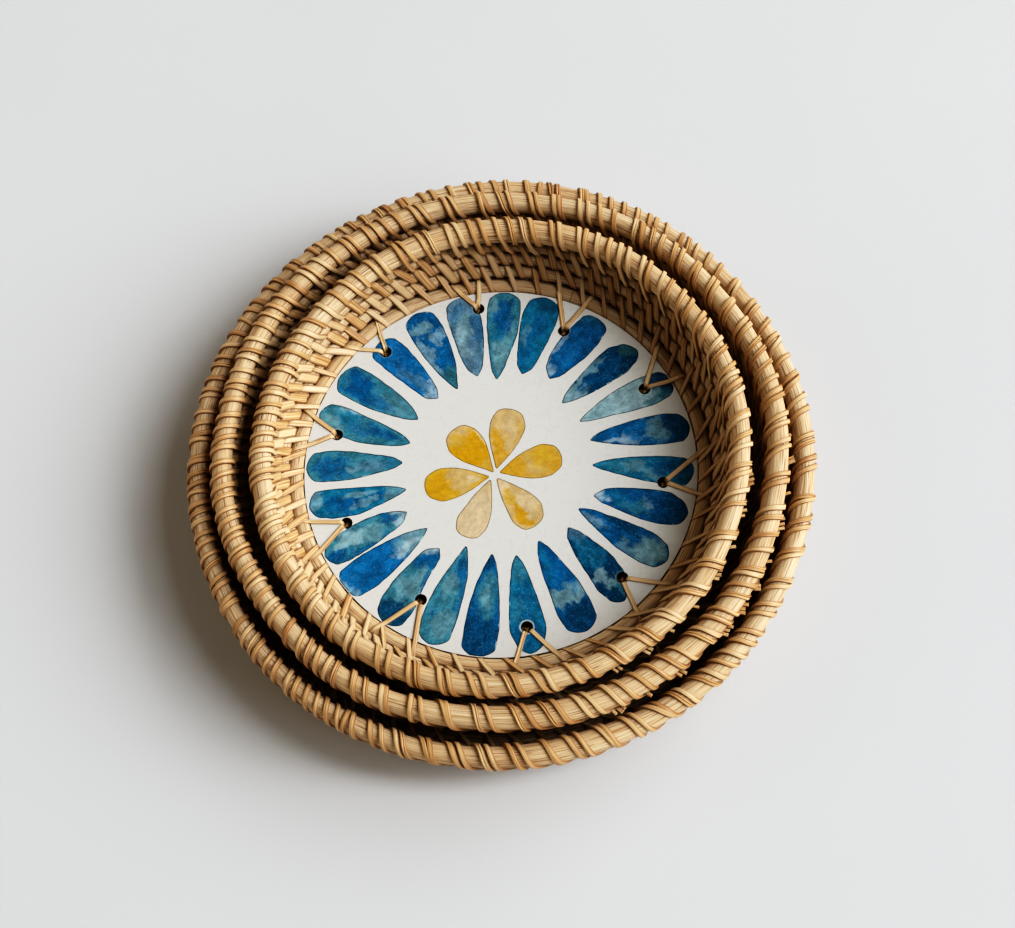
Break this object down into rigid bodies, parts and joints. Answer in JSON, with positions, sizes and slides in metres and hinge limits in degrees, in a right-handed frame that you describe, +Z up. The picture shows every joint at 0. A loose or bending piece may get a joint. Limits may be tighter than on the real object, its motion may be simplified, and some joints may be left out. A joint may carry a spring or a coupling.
{
  "type": "nesting round rattan tray set",
  "caption": "Nest of round rattan trays with flared coil walls, wrapped rims and laced-in lacquer floors inlaid with a shell petal rosette; each tray lifts out of the one below.",
  "frame": {"origin": "on the table, under the middle of the large tray", "axes": "+Z up out of the trays; -Y is the side nearest the viewer"},
  "size_m": [0.2792, 0.2806, 0.0514],
  "materials": {
    "rattan_rod": "natural rattan core, matt, fine lengthwise grain",
    "rattan_peel": "split rattan peel, satin",
    "board": "unpainted fibreboard",
    "lacquer": "white lacquer, satin gloss",
    "shell_blue": "dyed shell inlay under clear lacquer, mottled blue",
    "shell_yellow": "dyed shell inlay under clear lacquer, mottled yellow"
  },
  "bodies": {
    "large_tray": {"large_base_board": "board", "large_lacquer_face": "lacquer", "large_base_ring": "rattan_rod", "large_wall_coil_1": "rattan_rod", "large_wall_coil_2": "rattan_rod", "large_wall_coil_3": "rattan_rod", "large_rim_rod": "rattan_rod", "large_rim_wrap": "rattan_peel", "large_wall_stitching": "rattan_peel", "large_lacing": "rattan_peel"},
    "medium_tray": {"medium_base_board": "board", "medium_lacquer_face": "lacquer", "medium_base_ring": "rattan_rod", "medium_wall_coil_1": "rattan_rod", "medium_wall_coil_2": "rattan_rod", "medium_wall_coil_3": "rattan_rod", "medium_rim_rod": "rattan_rod", "medium_rim_wrap": "rattan_peel", "medium_wall_stitching": "rattan_peel", "medium_lacing": "rattan_peel"},
    "small_tray": {"small_base_board": "board", "small_lacquer_face": "lacquer", "small_base_ring": "rattan_rod", "small_wall_coil_1": "rattan_rod", "small_wall_coil_2": "rattan_rod", "small_wall_coil_3": "rattan_rod", "small_rim_rod": "rattan_rod", "small_rim_wrap": "rattan_peel", "small_wall_stitching": "rattan_peel", "small_lacing": "rattan_peel", "small_blue_petal_01": "shell_blue", "small_blue_petal_02": "shell_blue", "small_blue_petal_03": "shell_blue", "small_blue_petal_04": "shell_blue", "small_blue_petal_05": "shell_blue", "small_blue_petal_06": "shell_blue", "small_blue_petal_07": "shell_blue", "small_blue_petal_08": "shell_blue", "small_blue_petal_09": "shell_blue", "small_blue_petal_10": "shell_blue", "small_blue_petal_11": "shell_blue", "small_blue_petal_12": "shell_blue", "small_blue_petal_13": "shell_blue", "small_blue_petal_14": "shell_blue", "small_blue_petal_15": "shell_blue", "small_blue_petal_16": "shell_blue", "small_blue_petal_17": "shell_blue", "small_blue_petal_18": "shell_blue", "small_blue_petal_19": "shell_blue", "small_blue_petal_20": "shell_blue", "small_blue_petal_21": "shell_blue", "small_blue_petal_22": "shell_blue", "small_blue_petal_23": "shell_blue", "small_blue_petal_24": "shell_blue", "small_yellow_petal_01": "shell_yellow", "small_yellow_petal_02": "shell_yellow", "small_yellow_petal_03": "shell_yellow", "small_yellow_petal_04": "shell_yellow", "small_yellow_petal_05": "shell_yellow", "small_yellow_petal_06": "shell_yellow"}
  },
  "joints": [
    {"name": "medium_lift", "type": "slide", "parent": "large_tray", "child": "medium_tray", "axis": [0, 0, 1], "range_m": [0, 0.06]},
    {"name": "small_lift", "type": "slide", "parent": "medium_tray", "child": "small_tray", "axis": [0, 0, 1], "range_m": [0, 0.06]}
  ]
}
